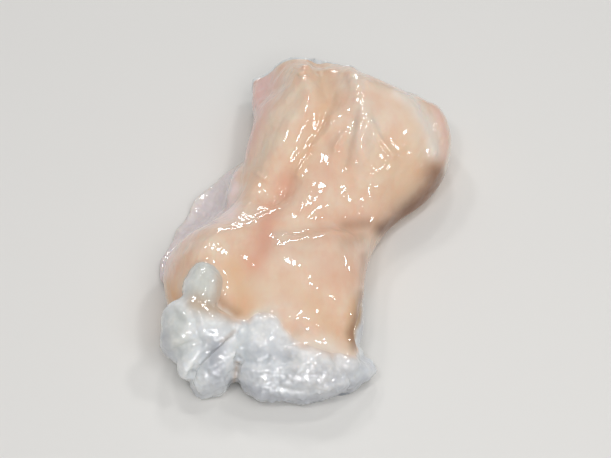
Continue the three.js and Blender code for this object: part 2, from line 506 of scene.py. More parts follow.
@dataclass(frozen=True)
class Ripples:
    """A field of small waves or cobbles, longer one way than across, that moves a skin.

    Across, along and height are millimetres, and turn is degrees round the upright.
    """

    name: str
    where: Where
    across: float
    along: float
    turn: float
    height: float
    pattern: Pattern = Pattern.WAVES

    def press(self, piece: bpy.types.Object, weights: np.ndarray) -> None:
        """Moves the skin in and out by the field, as far as the weights say.

        Args:
            piece: the object.
            weights: one weight for each vertex, from 0 to 1.
        """
        texture = bpy.data.textures.new(self.name, self.pattern.value)
        texture.noise_scale = 1.0
        if self.pattern is Pattern.WAVES:
            texture.noise_basis = "IMPROVED_PERLIN"
        group = Skin(piece).write_group("ripples", weights)
        deselect_all()
        bpy.ops.object.empty_add(rotation=(0, 0, math.radians(self.turn)))
        grid = bpy.context.object
        grid.scale = (self.across * MM, self.along * MM, self.across * MM)
        bpy.context.view_layer.update()
        inward = -1 if self.pattern is Pattern.COBBLES else 1
        apply_modifier(piece, "DISPLACE", texture=texture, texture_coords="OBJECT",
                       texture_coords_object=grid, vertex_group=group, direction="NORMAL",
                       mid_level=0.5, strength=inward * self.height * MM)
        bpy.data.objects.remove(grid)
        bpy.data.textures.remove(texture)


@dataclass(frozen=True)
class Lobule:
    """A lump of fat from one point to another, as thick as its girth, narrower at the end."""

    start: Point
    end: Point
    girth: float
    taper: float = 0.0

    def model(self, subdivisions: int = 4) -> bpy.types.Object:
        """Models the lump as an object of its own.

        Args:
            subdivisions: fineness of the ball.

        Returns:
            The lump, in place.
        """
        deselect_all()
        bpy.ops.mesh.primitive_ico_sphere_add(subdivisions=subdivisions, radius=MM)
        lump = bpy.context.object
        if self.taper:
            apply_modifier(lump, "SIMPLE_DEFORM", deform_method="TAPER", deform_axis="Y",
                           factor=self.taper)
        axis = Vector(self.end) - Vector(self.start)
        middle = (Vector(self.end) + Vector(self.start)) / 2
        size = Matrix.Diagonal((self.girth, axis.length / 2, self.girth, 1))
        turned = axis.to_track_quat("-Y", "Z").to_matrix().to_4x4()
        lump.data.transform(Matrix.Translation(middle * MM) @ turned @ size)
        return lump


@dataclass
class Form:
    """The outer form that the gut wall and the fat share."""

    voxel: float = 0.4
    fat_growth: float = 0.35
    # Rounds of smoothing or spreading, each over about half a millimetre.
    wall_rounds: int = 24
    fat_rounds: int = 3
    fade_rounds: int = 40
    soft_rounds: int = 4
    edge_rounds: int = 3
    seam_spread: int = 34
    # How ragged the edge between wall and fat is, and how wide it is.
    fray_size: float = 2.6
    fray: float = 0.35
    seam_fray: float = 0.6
    fade_fray: float = 0.4
    seam_width: float = 0.9
    step_width: float = 2.2
    step_side: Span = (-14.0, -10.0)
    # The drawn front seam holds between these: from left to right, only low down at the far left,
    # off the floor, and at the front of the piece.
    seam_start: Span = (-20.2, -18.8)
    seam_end: Span = (12.2, 11.0)
    seam_under: Span = (-14.5, -16.5)
    seam_past: Span = (-16.0, -13.0)
    seam_foot: Span = (3.0, 5.0)
    seam_back: float = -20.0
    # The drawn side seam holds between these: upwards, where the skin faces the viewer, at the
    # front and on the right. The film's tint ends at it. A bare strip of fat runs on from it.
    side_start: Span = (-28.5, -27.0)
    side_end: Span = (-14.0, -16.0)
    side_facing: Span = (-0.3, 0.1)
    side_back: float = -18.0
    side_left: float = 5.0
    side_tint_end: Span = (-0.8, 0.0)
    strip_left: float = 3.0
    # Tint that the wall's last film leaves on the fat below it, how far down, and from where on.
    film_tint: float = 0.1
    film_reach: Span = (4.5, 0.0)
    film_side: Span = (-14.0, -8.0)
    # Where the edge is soft, from left to right.
    soft_side: Span = (-12.0, -6.0)
    # The flap is what lies well off the fat, at the left, from its rear end to its front one.
    flap_reach: Span = (2.6, 4.6)
    flap_right: float = -11.0
    flap_rear: Span = (23.0, 18.0)
    flap_front: float = -22.0
    # Drawn lines: how wide the front seam fades and how much fat shows there, from left to right,
    # the two seams as seen, and the top of the bare strip, from front to rear.
    fade_widths: Line = ((-19.0, 1.5), (-9.0, 2.2), (-3.0, 2.6), (3.0, 3.6), (6.0, 3.2), (9.5, 1.6),
                         (12.0, 1.0))
    thinnings: Line = ((-4.0, 0.85), (5.0, 0.65))
    seam: Line = (
        (-19.6, -16.8), (-18.4, -18.4), (-17.0, -19.0), (-15.2, -19.9), (-12.5, -19.9),
        (-10.8, -18.6), (-8.0, -18.5), (-6.4, -19.0), (-5.0, -21.4), (-3.8, -23.4),
        (-0.9, -25.2), (2.4, -26.4), (5.7, -27.2), (9.0, -27.8), (11.7, -28.0),
    )
    side_seam: Line = ((-27.0, 12.2), (-25.4, 11.2), (-23.6, 10.5), (-22.2, 10.7), (-20.6, 11.6),
                       (-18.4, 12.1), (-16.0, 12.5), (-14.6, 13.2))
    strip_top: Line = ((-28.5, 7.5), (-26.0, 7.0), (-21.0, 6.4), (-17.0, 4.0), (-11.0, 0.6),
                       (-9.0, -2.0))
    lobules: tuple[Lobule, ...] = (
        Lobule((-21.6, -37.6, 12.6), (-26.2, -43.0, 4.8), 2.9),
        Lobule((-14.8, -37.6, 14.2), (-22.4, -45.4, 2.6), 3.6, 0.3),
        Lobule((-14.3, -36.0, 14.6), (-14.6, -37.8, 14.2), 1.2),
        Lobule((-24.4, -33.6, 13.0), (-26.6, -37.2, 8.6), 3.6),
        Lobule((-18.0, -34.6, 13.2), (-23.4, -38.2, 12.0), 3.2),
        Lobule((3.0, -43.4, 6.0), (14.8, -39.2, 3.2), 3.3, 0.75),
        Lobule((-12.6, -44.0, 5.0), (4.0, -46.0, 5.4), 3.2),
        # Fillings of the valleys between the wall's rim and the lobes that it fades into.
        Lobule((-11.2, -33.6, 13.5), (1.5, -34.7, 13.3), 3.2),
        Lobule((-3.4, -38.2, 11.9), (11.0, -39.6, 6.4), 3.0),
        Lobule((9.8, -36.0, 5.6), (11.0, -38.8, 5.4), 2.0),
        Lobule((-14.6, -37.2, 12.9), (-15.0, -43.9, 4.6), 1.65),
        Lobule((-18.0, -29.8, 15.2), (-19.4, -31.6, 15.0), 1.7),
        Lobule((-26.2, -31.0, 15.6), (-22.0, -31.8, 16.2), 2.2),
    )
    wall_fillings: tuple[Lobule, ...] = (
        Lobule((-14.0, 18.0, 6.0), (-16.2, 1.2, 7.6), 3.1),
        Lobule((-11.2, 26.6, 1.3), (-14.8, 21.5, 1.1), 1.3),
    )
    reliefs: tuple[Relief, ...] = (
        # Valley beside the mesentery line, and the folds on both sides of it.
        Relief([(2.7, 37), (5.2, 28), (3.0, 23), (0.8, 18), (-4.2, 10)], -0.7, 1.7),
        Relief([(6.2, 24.5), (5.6, 22.4), (4.3, 20.7), (1.5, 17.9), (-1.8, 12.2)], 0.65, 1.3),
        Relief([(9.3, 21.3), (8.1, 20.4), (6.5, 17.9)], 0.45, 1.0),
        Relief([(10.3, 24), (9.2, 19.4), (8.4, 14)], -0.65, 1.5),
        Relief([(10.0, 34.6), (12.2, 29.5), (13.2, 25), (12.4, 20), (12.5, 16)], 0.7, 1.6),
        Relief([(14.0, 24), (16.2, 20), (19.4, 16.3)], 0.5, 1.0),
        Relief([(1.2, 31), (-0.8, 26), (-4.4, 21), (-9.0, 14)], 0.3, 2.0),
        # Fold band inside the right rim.
        Relief([(19.7, 30.1), (23.5, 28.3), (25.4, 24.5), (26.7, 20.7), (28.2, 16.9)], 0.6, 1.2),
        Relief([(27.2, 29), (28.9, 25), (29.9, 20), (30.2, 16)], -0.5, 1.1),
        # Step down to the thin left side, and the flap's root.
        Relief([(-5.5, 33.3), (-9.6, 25.7), (-13.0, 16.9)], 0.2, 1.4),
        Relief([(-7.4, 34), (-11.6, 25.7), (-14.6, 17)], -0.2, 1.4),
        Relief([(-18, 0.8), (-21, -0.4), (-29, -5)], -0.3, 1.0),
        # Crevices between the fat's fingers, and the groove over the front lobe.
        Relief([(-16.4, -23.0), (-18.5, -24.7), (-21.5, -27), (-24.1, -30.3), (-25.4, -32.4)],
               -1.2, 0.6),
        Relief([(-29.4, -27.4), (-26.4, -26.0), (-24.6, -25.6)], -0.7, 0.9),
        Relief([(-25.8, -17.4), (-24.4, -20.0), (-24.1, -23.4), (-23.1, -25.0)], -0.6, 0.9),
        Relief([(-25.0, -31.8), (-25.4, -33.0), (-25.6, -34.0)], -0.7, 0.6),
        Relief([(-14.4, -22.4), (-14.9, -26), (-15.0, -29.0)], -0.3, 0.6),
        Relief([(-15.0, -29.0), (-15.3, -31.5), (-15.6, -34.6)], -0.9, 0.5),
        Relief([(-14.2, -29), (-10.8, -29.4), (-7.5, -28.8), (-2.6, -28.8)], -0.7, 1.2),
        Relief([(-1.8, -31.8), (-0.6, -30.0), (1.8, -28.7)], 0.5, 0.6),
        Relief([(6.1, -28.3), (9.1, -31.3), (11.7, -32.6)], -0.5, 0.6),
        Relief([(-29.6, -17.5), (-27.4, -20.4)], -0.3, 0.8),
        Relief([(13.4, -28.2), (15.6, -29.0)], -0.8, 1.3),
        # Rounder ends of the front lobe, and the side strip drawn in behind the wall's edge.
        Relief([(-14.2, -35.6), (-12.6, -37.6)], -0.7, 1.4),
        Relief([(-16.8, -37.0), (-15.8, -35.2)], -0.8, 1.2),
        Relief([(-9.0, -38.6), (-6.6, -39.2)], 0.5, 2.0),
        Relief([(3.0, -38.6), (8.0, -37.6)], -0.7, 2.4),
        Relief([(12.5, -16.0), (12.0, -18.6), (11.5, -20.6), (10.6, -22.4)], -0.4, 0.55),
    )
    # Narrow welts that catch the lamps.
    glinting_ridges: tuple[Relief, ...] = (
        Relief([(-7.3, -1.9), (-5.4, -1.1), (-3.6, -1.8), (-1.8, -2.5), (0.4, -1.7)], 0.2, 0.9),
        Relief([(0.8, 36.2), (-0.4, 35.7)], 0.35, 0.45),
        Relief([(-0.2, 34.8), (-1.3, 34.3)], 0.35, 0.45),
        Relief([(0.2, 33.7), (-0.8, 33.4)], 0.35, 0.45),
        Relief([(5.9, 23.5), (5.4, 22.0), (3.6, 20.0), (1.5, 17.9)], 0.25, 0.5),
        Relief([(0.8, 16.0), (-0.6, 14.4), (-1.8, 11.9)], 0.25, 0.5),
        Relief([(8.1, 20.4), (6.5, 17.9)], 0.2, 0.45),
        Relief([(16.0, 20.7), (17.2, 18.6), (19.3, 16.3)], 0.25, 0.5),
        Relief([(-10.8, 12.3), (-8.6, 10.6)], 0.2, 0.45),
    )
    # Where the wall reaches further over the fat than the solids say.
    farther_wall: Mark = Mark([(-25, -6.2), (-21, -6.2)], 1.8, 1.2)
    ripples: tuple[Ripples, ...] = (
        Ripples("folds", Where.WALL, 1.7, 5.0, -22, 0.4),
        Ripples("small_folds", Where.WALL, 0.8, 2.0, -30, 0.07),
        Ripples("rungs", Where.RUNGS, 2.6, 0.8, -20, 0.5),
        Ripples("frills", Where.FLAP, 1.6, 4.0, 50, 0.6),
        Ripples("crinkles", Where.FLAP, 1.0, 1.8, 15, 0.25),
        Ripples("lobulation", Where.FAT, 2.6, 2.6, 15, 0.45),
        Ripples("grains", Where.FRONT, 1.1, 1.1, 40, 0.42, Pattern.COBBLES),
    )
    # Where folds lie like rungs, where the skin is smoothed, where the fat's edge is soft, and
    # where the wall is calm, with few folds.
    rungs: tuple[Mark, ...] = (
        Mark([(0.5, 38), (-2.0, 35), (-0.6, 33)], 2.0),
        Mark([(11.6, 30), (12.8, 27), (13.2, 24)], 1.6),
        Mark([(-22, 11), (-18, 9), (-19, 5)], 3.0, 0.6),
    )
    soft_parts: tuple[Mark, ...] = (
        Mark([(-9, -1), (-2, -2.2), (6, -0.8), (15, 1.2), (19, 0)], 2.2),
        Mark([(-15.4, 14), (-15.6, 8), (-15.6, 3.5), (-18.5, 1.2), (-24, -1.7), (-30, -6)], 1.7),
        Mark([(-6.5, 33.5), (-10.6, 25.7), (-13.8, 17)], 2.0, 0.7),
        Mark([(-20.1, -7.1), (-18.5, -9.4), (-18.1, -12.7), (-19.5, -16.1)], 1.5, 1.0),
        Mark([(-26.9, -10.4), (-27.4, -14.4)], 1.2, 0.8),
        Mark([(-27.4, -14.6), (-24.6, -15.8), (-21.4, -16.8)], 2.0),
        Mark([(9.5, -29.6), (13.0, -30.6), (15.4, -29.8)], 2.2, 0.7),
        Mark([(-19.5, -17.2), (-16, -19), (-12, -19), (-7, -18), (-4.2, -20.6), (-1.6, -24),
              (5, -27), (9, -27.6)], 1.8),
    )
    soft_seams: tuple[Mark, ...] = (
        Mark([(-18.5, -9.4), (-18.1, -12.7), (-19.5, -16.1)], 2.4),
        Mark([(-26.9, -10.4), (-27.4, -14.4)], 1.6, 0.6),
        Mark([(-20.0, -16.6), (-18.0, -18.2), (-15.6, -19.6)], 1.4, 0.9),
    )
    calm_parts: tuple[Mark, ...] = (
        Mark([(-8, -12), (2, -10), (8, -12), (2, -17)], 7.0),
        Mark([(-14, -7), (0, -6.4), (12, -6.4)], 3.0),
        Mark([(-8, -1.4), (0, -2), (8, -0.8), (15, 1)], 2.2),
        Mark([(-0.5, 14), (3.0, 14), (5.5, 9)], 3.4, 0.9),
        Mark([(-17, 28), (-17, 16), (-17, 4)], 2.2, 0.8),
        Mark([(17.4, 29.5), (19.8, 26.5), (22.4, 23.0)], 2.6, 0.9),
    )
    # Shares: of its folds that the hidden wall keeps, that calm places lose, of the smoothing that
    # calm places take and that the flap is spared, and of its grain that the fat keeps at the rear.
    hidden_folds: float = 0.1
    calmed: float = 0.85
    calm_melt: float = 0.8
    crisp_flap: float = 0.6
    rear_grain: float = 0.15
    front_grain: Span = (-42.0, -45.0)
    seen_from: Span = (-0.1, 0.35)
    seen_rounds: int = 6
    # Grains of fat, at the front and off the floor, each partly sunk in.
    granule_seed: int = 7
    granule_count: int = 110
    granule_sizes: Span = (0.4, 0.85)
    granule_lengths: Span = (1.0, 1.8)
    granule_front: float = -41.0
    granule_foot: float = 3.0
    granule_sunk: float = 0.5

    def build(self) -> bpy.types.Object:
        """Builds the form and marks on it what is fat and what is flap.

        Returns:
            The form, with the attributes "fatness", "thinning", "warmth", "flap" and "calm".
        """
        wall = copy_of(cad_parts["gut_wall"], "form_wall")
        fat = copy_of(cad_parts["fat"], "form_fat")
        for part in (wall, fat):
            merge_doubles(part)
        wall = joined(wall, *(lobule.model() for lobule in self.wall_fillings))
        push_out(fat, self.fat_growth)
        fat = joined(fat, *(lobule.model() for lobule in self.lobules))
        fat = joined(fat, *self.granules(fat))
        graph = bpy.context.evaluated_depsgraph_get()
        wall_tree, fat_tree = BVHTree.FromObject(wall, graph), BVHTree.FromObject(fat, graph)
        form = joined(wall, fat)
        apply_modifier(form, "REMESH", mode="VOXEL", voxel_size=self.voxel * MM)
        form = largest_body(form)
        self.mark(form, wall_tree, fat_tree)
        self.melt(form)
        for relief in self.reliefs:
            relief.press(form)
        self.blend(form)
        self.ruffle(form)
        for ridge in self.glinting_ridges:
            ridge.press(form)
        rest_on_floor(form)
        log.info("form: %d vertices", len(form.data.vertices))
        return form

    def granules(self, fat: bpy.types.Object) -> list[bpy.types.Object]:
        """Small grains of fat, strewn over the lobes by a seeded rule.

        Args:
            fat: the fat that carries them.

        Returns:
            The grains as objects.
        """
        draw = random.Random(self.granule_seed)
        faces = [f for f in fat.data.polygons
                 if f.center.y < self.granule_front * MM and f.center.z > self.granule_foot * MM]
        grains: list[bpy.types.Object] = []
        for face in draw.choices(faces, weights=[f.area for f in faces], k=self.granule_count):
            size = draw.uniform(*self.granule_sizes)
            at = (face.center - face.normal * self.granule_sunk * size * MM) / MM
            way = Vector([draw.uniform(-1, 1) for _ in range(3)]).normalized()
            reach = way * size * draw.uniform(*self.granule_lengths)
            grain = Lobule(tuple(at - reach), tuple(at + reach), size)
            grains.append(grain.model(subdivisions=2))
        return grains

    def mark(self, form: bpy.types.Object, wall_tree: BVHTree, fat_tree: BVHTree) -> None:
        """Writes how far each vertex belongs to the fat and to the flap.

        Args:
            form: the remeshed form.
            wall_tree: nearest points of the wall.
            fat_tree: nearest points of the fat.
        """
        skin = Skin(form)
        places = skin.places()
        x, y, z = places.T
        found = [(wall_tree.find_nearest(v.co)[3], fat_tree.find_nearest(v.co)[3])
                 for v in form.data.vertices]
        to_wall, to_fat = np.array(found).T / MM
        ragged = np.array([noise.noise(Vector(p) / self.fray_size) for p in places])
        lead = to_wall - to_fat + self.fray * ragged
        step = np.exp(-(lead / self.step_width) ** 2) * (z > self.seam_foot[0])
        skin.write_attribute("step", step)
        lead -= skin.near([self.farther_wall])
        # The front seam follows a drawn line, as seen, and so does the side seam.
        right, up = VIEWPOINT.seen(places).T
        below = height_of(self.seam, right) - up + self.seam_fray * ragged
        drawn = smooth_step(*self.seam_start, right) * smooth_step(*self.seam_end, right)
        drawn *= np.maximum(smooth_step(*self.seam_under, up), smooth_step(*self.seam_past, right))
        drawn *= smooth_step(*self.seam_foot, z) * (y < self.seam_back)
        lead += drawn * (below - lead)
        beyond = right - height_of(self.side_seam, up)
        beside = smooth_step(*self.side_start, up) * smooth_step(*self.side_end, up)
        beside *= smooth_step(*self.side_facing, skin.facing()) * (y < self.side_back)
        beside *= right > self.side_left
        lead += beside * (np.maximum(lead, beyond) - lead)
        # A strip of bare fat runs below the wall's rim on the right.
        strip = np.maximum(lead, height_of(self.strip_top, y) - z)
        lead = np.where(x > self.strip_left, strip, lead)
        # Over the front seam, the wall thins out to a film that still tints the fat below it.
        fade = height_of(self.fade_widths, right)
        share = smooth_step(-1, 1, (below + self.fade_fray * ragged) / fade)
        film = self.film_tint * smooth_step(*self.film_reach, below / fade)
        film *= smooth_step(*self.film_side, right)
        fleshy = 1 - beside * smooth_step(*self.side_tint_end, beyond)
        skin.write_attribute("thinning", drawn * share * height_of(self.thinnings, right))
        skin.write_attribute("warmth", drawn * np.maximum(1 - share, film) * fleshy)
        sharp = np.clip(0.5 + lead / (2 * self.seam_width), 0, 1)
        sharp = skin.blurred(sharp, self.edge_rounds)
        soft = skin.blurred(sharp, self.seam_spread)
        fading = smooth_step(*self.soft_side, x) * (y < 0)
        fading = np.maximum(fading, skin.near(self.soft_seams, anywhere=True))
        skin.write_attribute("fatness", sharp + (soft - sharp) * fading)
        left = (x < self.flap_right) * smooth_step(*self.flap_rear, y) * (y > self.flap_front)
        flap = smooth_step(*self.flap_reach, to_fat) * left
        skin.write_attribute("flap", skin.blurred(flap, self.soft_rounds))

    def melt(self, form: bpy.types.Object) -> None:
        """Smooths the facets away, more on the wall than on the grainy fat.

        Args:
            form: the form.
        """
        skin = Skin(form)
        wall = 1 - skin.read_attribute("fatness")
        wall *= 1 - self.crisp_flap * skin.read_attribute("flap")
        skin.write_group("wall", wall)
        apply_modifier(form, "SMOOTH", iterations=self.fat_rounds)
        apply_modifier(form, "SMOOTH", iterations=self.wall_rounds, vertex_group="wall")

    def blend(self, form: bpy.types.Object) -> None:
        """Smooths the step from wall to fat where the one fades into the other, and the neck.

        Args:
            form: the form.
        """
        skin = Skin(form)
        x, y, _ = skin.places().T
        step = skin.read_attribute("step") * (smooth_step(*self.step_side, x) * (y < 0))
        fading = np.maximum(step, skin.near(self.soft_parts))
        fading = np.maximum(fading, self.calm_melt * skin.near(self.calm_parts))
        skin.write_group("fading", skin.blurred(fading, self.soft_rounds))
        apply_modifier(form, "SMOOTH", iterations=self.fade_rounds, vertex_group="fading")

    def ruffle(self, form: bpy.types.Object) -> None:
        """Adds the wall's small folds and the fat's cobbles, fewest where the belly is calm.

        Args:
            form: the form.
        """
        skin = Skin(form)
        fatness = skin.read_attribute("fatness")
        skin.write_attribute("calm", skin.near(self.calm_parts, anywhere=True))
        seen = smooth_step(*self.seen_from, skin.blurred(skin.facing(), self.seen_rounds))
        folded = self.hidden_folds + (1 - self.hidden_folds) * seen
        front = smooth_step(*self.front_grain, skin.places()[:, 1])
        weights = {
            Where.WALL: (1 - fatness) * folded * (1 - self.calmed * skin.read_attribute("calm")),
            Where.RUNGS: (1 - fatness) * skin.near(self.rungs),
            Where.FLAP: skin.read_attribute("flap"),
            Where.FAT: fatness,
            Where.FRONT: fatness * (self.rear_grain + (1 - self.rear_grain) * front),
        }
        for ripples in self.ripples:
            ripples.press(form, weights[ripples.where])


@dataclass(frozen=True)
class WetFinish(ABC):
    """What both raw tissues share: light sinks into them, under a clear film that mirrors lamps.

    The light's reach, the heights of bumps, and the sizes of patterns are millimetres.
    """

    name: str
    roughness: float
    ior: float
    radius: Point
    light_reach: float
    film_roughness: float
    grain_height: float
    film_ior: float = 1.5
    film_height: float = 0.4

    def build(self) -> bpy.types.Material:
        """Builds the material.

        Returns:
            The finished material.
        """
        material = bpy.data.materials.new(self.name)
        material.use_nodes = True
        tree = material.node_tree
        tree.nodes.clear()
        place = add_node(tree, "ShaderNodeTexCoord").outputs["Object"]
        shader = add_node(tree, "ShaderNodeBsdfPrincipled", {
            "Roughness": self.roughness, "IOR": self.ior, "Subsurface Radius": self.radius,
            "Subsurface Scale": self.light_reach * MM, "Coat Weight": 1.0,
            "Coat Roughness": self.film_roughness, "Coat IOR": self.film_ior,
            **self.sockets(tree, place)}, subsurface_method="RANDOM_WALK")
        add_node(tree, "ShaderNodeOutputMaterial", {"Surface": shader.outputs["BSDF"]})
        return material

    @abstractmethod
    def sockets(self, tree: bpy.types.NodeTree, place: Any) -> dict[str, Any]:
        """Colour, depth of light, and bumps of the tissue and of its film.

        Args:
            tree: the node tree.
            place: the socket of the place on the piece.

        Returns:
            A socket for each input of the shader that varies over the piece.
        """

    def tinted(self, tree: bpy.types.NodeTree, base: str, tints: Sequence[tuple[str, Any]]) -> Any:
        """Lays tints over a base colour, one after another.

        Args:
            tree: the node tree.
            base: the base colour's hex value.
            tints: the hex value of each, and the socket that says how far it covers the last.

        Returns:
            The socket of the last colour.
        """
        colour = hex_colour(base)
        for code, cover in tints:
            mix = add_node(tree, "ShaderNodeMix", {0: cover, 6: colour, 7: hex_colour(code)},
                           data_type="RGBA")
            colour = mix.outputs[2]
        return colour


@dataclass(frozen=True)
class GutWallFinish(WetFinish):
    """Raw gut wall: thin wet muscle over fat, pale peach, and clearer where it thins out."""

    name: str = "raw_gut_wall"
    roughness: float = 0.5
    ior: float = 1.4
    radius: Point = (1.0, 0.45, 0.28)
    light_reach: float = 2.2
    film_roughness: float = 0.035
    grain_height: float = 0.1
    peach: str = "#E6C2A6"
    cream: str = "#EBD9C2"
    pink: str = "#DF9C80"
    orange: str = "#DDA873"
    lilac: str = "#F3DAD6"
    # Pink of the upper left, partly the wall's own tone and partly a painted reflection of a
    # neighbouring piece; also the right rim's own pink.
    rose: str = "#E6BDB4"
    # Colour of painted shade, laid on where the shade zone lies.
    painted_shade_brown: str = "#805432"
    veil: str = "#EDE0D2"
    fat_white: str = "#E0DCD2"
    mottle_size: float = 7.0
    vein_size: float = 2.4
    film_size: float = 2.3
    grain_size: float = 0.45
    fibre_turn: float = 20.0
    fray: float = 0.5

    def sockets(self, tree: bpy.types.NodeTree, place: Any) -> dict[str, Any]:
        """Colour, depth of light, and bumps of the tissue and of its film.

        Args:
            tree: the node tree.
            place: the socket of the place on the piece.

        Returns:
            A socket for each input of the shader that varies over the piece.
        """
        # Broad cloudy mottling, as the fat behind the thin wall shows through unevenly.
        mottle = add_node(tree, "ShaderNodeTexNoise", {
            "Vector": place, "Scale": per_metre(self.mottle_size), "Detail": 4.0,
            "Roughness": 0.55})
        cloudy = add_node(tree, "ShaderNodeMapRange", {
            "Value": mottle.outputs["Fac"], "From Min": 0.36, "From Max": 0.68, "To Max": 0.7})
        # Fibres of the muscle coat, drawn out along the gut.
        along = add_node(tree, "ShaderNodeMapping", {
            "Vector": place, "Rotation": (0, 0, math.radians(self.fibre_turn)),
            "Scale": (1.0, 0.4, 1.0)})
        fibre = add_node(tree, "ShaderNodeTexNoise", {
            "Vector": along.outputs["Vector"], "Scale": per_metre(self.vein_size),
            "Detail": 3.0})
        fibrous = add_node(tree, "ShaderNodeMapRange", {
            "Value": fibre.outputs["Fac"], "From Min": 0.45, "From Max": 0.75, "To Max": 0.26})
        tints = [(self.cream, cloudy.outputs["Result"]), (self.pink, fibrous.outputs["Result"])]
        # Zones that the mesh carries; the shade zone among them is painted shade.
        for zone, code in (("orange", self.orange), ("cream", self.cream), ("pink", self.pink),
                           ("rose", self.rose), ("lilac", self.lilac), ("shade", self.painted_shade_brown),
                           ("veil", self.veil), ("thinning", self.fat_white)):
            tints.append((code, self.frayed(tree, zone, mottle.outputs["Fac"])))
        # The wet film follows slow ripples, and the tissue under it has a finer grain.
        ripples = add_node(tree, "ShaderNodeTexNoise", {
            "Vector": along.outputs["Vector"], "Scale": per_metre(self.film_size),
            "Detail": 1.0, "Distortion": 0.4})
        calm = add_node(tree, "ShaderNodeAttribute", attribute_name="calm")
        lively = add_node(tree, "ShaderNodeMapRange", {
            "Value": calm.outputs["Fac"], "To Min": 0.66, "To Max": 0.25})
        film = add_node(tree, "ShaderNodeBump", {
            "Height": ripples.outputs["Fac"], "Strength": lively.outputs["Result"],
            "Distance": self.film_height * MM})
        grain = add_node(tree, "ShaderNodeTexNoise", {
            "Vector": place, "Scale": per_metre(self.grain_size), "Detail": 2.0})
        tissue = add_node(tree, "ShaderNodeBump", {
            "Height": grain.outputs["Fac"], "Strength": 0.3,
            "Distance": self.grain_height * MM})
        # Light goes less deep where the wall thins out over the fat.
        fatness = add_node(tree, "ShaderNodeAttribute", attribute_name="fatness")
        depth = add_node(tree, "ShaderNodeMapRange", {
            "Value": fatness.outputs["Fac"], "From Max": 0.4, "To Min": 0.35, "To Max": 0.05})
        return {"Base Color": self.tinted(tree, self.peach, tints),
                "Subsurface Weight": depth.outputs["Result"],
                "Normal": tissue.outputs["Normal"], "Coat Normal": film.outputs["Normal"]}

    def frayed(self, tree: bpy.types.NodeTree, zone: str, mottle: Any) -> Any:
        """A zone that the mesh carries, with its edge made uneven.

        Args:
            tree: the node tree.
            zone: the mesh attribute.
            mottle: the noise that frays the edge.

        Returns:
            The zone's socket, from 0 to 1.
        """
        carried = add_node(tree, "ShaderNodeAttribute", attribute_name=zone).outputs["Fac"]
        uneven = add_node(tree, "ShaderNodeMath", {0: mottle, 1: self.fray, 2: -self.fray / 2},
                          operation="MULTIPLY_ADD")
        # Outside the zone nothing is frayed, so the fraying sets in over its weaker half.
        inside = add_node(tree, "ShaderNodeMath", {0: carried, 1: 2.0}, operation="MULTIPLY",
                          use_clamp=True)
        fray = add_node(tree, "ShaderNodeMath", {
            0: uneven.outputs["Value"], 1: inside.outputs["Value"]}, operation="MULTIPLY")
        whole = add_node(tree, "ShaderNodeMath", {0: carried, 1: fray.outputs["Value"]},
                         operation="ADD", use_clamp=True)
        return whole.outputs["Value"]


